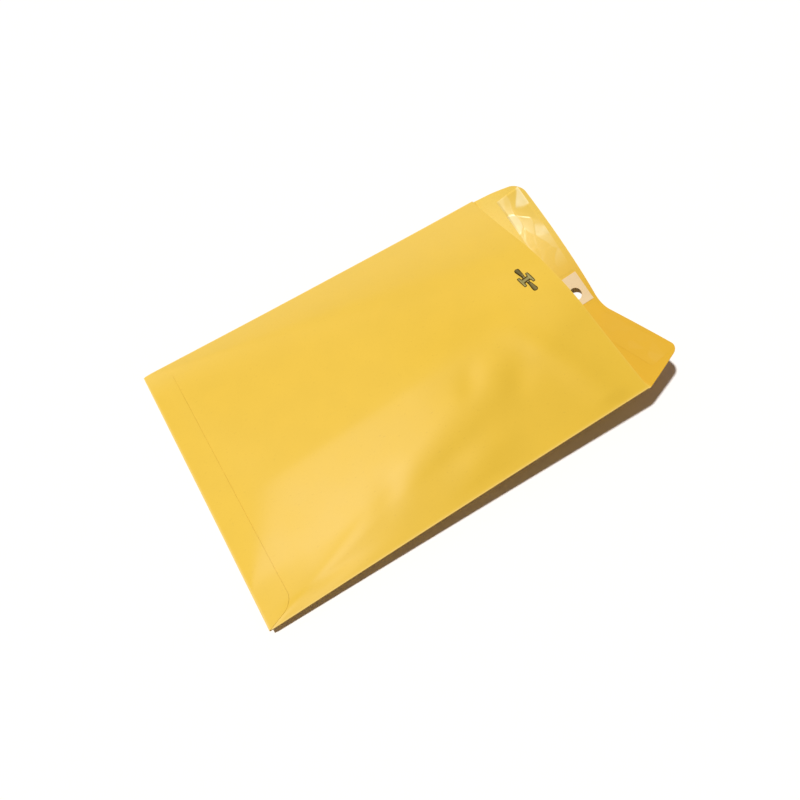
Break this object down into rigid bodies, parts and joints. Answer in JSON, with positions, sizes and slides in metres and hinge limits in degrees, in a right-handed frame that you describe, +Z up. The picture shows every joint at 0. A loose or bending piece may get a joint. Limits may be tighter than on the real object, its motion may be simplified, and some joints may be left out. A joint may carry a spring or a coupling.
{
  "type": "clasp envelope",
  "caption": "Manila paper envelope lying open: gaping pocket, hinged closing flap with a patched hole, and a stamped metal clasp with bending prongs.",
  "frame": {"origin": "on the surface that the envelope lies on, under the middle of its bounding box", "axes": "+X along the envelope from the closed end to the flap, +Y from the near long edge to the far one, +Z up, clasp side up"},
  "size_m": [0.3431, 0.2286, 0.0578],
  "materials": {
    "manila_panel": "smooth golden manila kraft paper with a soft sheen",
    "manila_flap": "smooth golden manila kraft paper with a soft sheen",
    "patch_paper": "pale tan reinforcing paper",
    "gum": "dried gum, shiny and a little wrinkled",
    "clasp_metal": "dull bronze-coloured stamped metal"
  },
  "bodies": {
    "pocket": {"back_panel": "manila_panel", "front_panel": "manila_panel", "side_seam_flap": "manila_panel", "bottom_seam_flap": "manila_panel", "clasp_plate": "clasp_metal"},
    "flap": {"closure_flap": "manila_flap", "hole_patch": "patch_paper", "gum_strip_far": "gum", "gum_strip_near": "gum"},
    "prong_far": {"clasp_prong_far": "clasp_metal"},
    "prong_near": {"clasp_prong_near": "clasp_metal"}
  },
  "joints": [
    {"name": "flap_hinge", "type": "hinge", "parent": "pocket", "child": "flap", "pos_m": [0.1253, -0.00002, 0.03715], "axis": [0, -0.9997, -0.0231], "range_deg": [0, 165]},
    {"name": "prong_far_bend", "type": "hinge", "parent": "pocket", "child": "prong_far", "pos_m": [0.10202, 0.00325, 0.0545], "axis": [0.9809, 0.0497, 0.1882], "range_deg": [0, 90]},
    {"name": "prong_near_bend", "type": "hinge", "parent": "pocket", "child": "prong_near", "pos_m": [0.10229, -0.00234, 0.05456], "axis": [-0.9809, -0.0497, -0.1882], "range_deg": [0, 90]}
  ]
}
